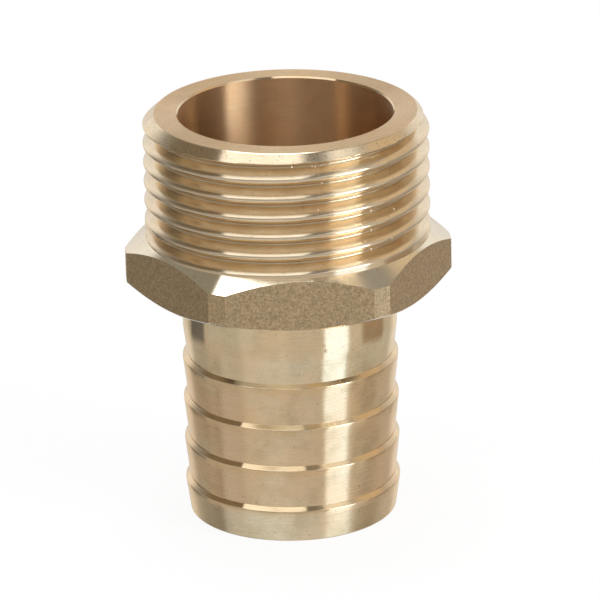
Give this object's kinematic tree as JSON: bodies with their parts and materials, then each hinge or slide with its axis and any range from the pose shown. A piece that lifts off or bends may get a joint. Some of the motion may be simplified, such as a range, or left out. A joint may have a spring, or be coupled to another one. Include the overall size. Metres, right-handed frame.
{
  "type": "hose barb tail",
  "caption": "Straight pipe fitting of one solid: male pipe thread, hexagon for a spanner, and a barbed tail that holds a push-on hose.",
  "frame": {"origin": "centre of the hose end's face, which the fitting stands on", "axes": "+Z along the waterway from the hose end to the threaded end, -Y out of the front flat of the hexagon"},
  "size_m": [0.038, 0.034, 0.0489],
  "materials": {
    "brass": "turned ends and cones, with fine tool marks; forged sand-grain flats on the hexagon"
  },
  "bodies": {
    "root": {"hose_barb_tail": "brass"}
  },
  "joints": []
}
